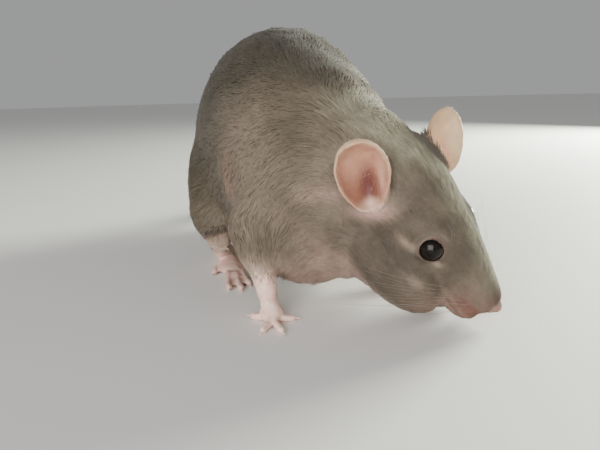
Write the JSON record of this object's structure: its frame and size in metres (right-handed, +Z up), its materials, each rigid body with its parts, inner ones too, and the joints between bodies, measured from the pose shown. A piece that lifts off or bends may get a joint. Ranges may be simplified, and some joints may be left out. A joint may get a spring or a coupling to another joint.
{
  "type": "pet rat",
  "caption": "Life-size still model of a pet rat on all fours, back arched, nose lowered to the floor and turned to its left, tail curled beside it.",
  "frame": {"origin": "on the floor at the middle of the model's bounding box", "axes": "+X forward along the trunk, the way the shoulders face; +Y to the rat's left, the side its head turns to; +Z up"},
  "size_m": [0.2058, 0.1188, 0.0851],
  "materials": {
    "coat": "short dense grey-brown fur",
    "foot_skin": "bare pink skin",
    "tail_skin": "ringed scaly skin, sparsely haired",
    "ear_skin": "thin pink skin with fine down",
    "eye": "wet black gloss"
  },
  "bodies": {
    "root": {"torso": "coat", "neck": "coat", "head": "coat", "foreleg_left": "coat", "foreleg_right": "coat", "hindleg_left": "coat", "hindleg_right": "coat", "forefoot_left": "foot_skin", "forefoot_right": "foot_skin", "hindfoot_left": "foot_skin", "hindfoot_right": "foot_skin", "tail_base": "tail_skin", "tail_middle": "tail_skin", "tail_slender": "tail_skin", "tail_tip": "tail_skin", "ear_left": "ear_skin", "ear_right": "ear_skin", "eye_left": "eye", "eye_right": "eye"}
  },
  "joints": []
}
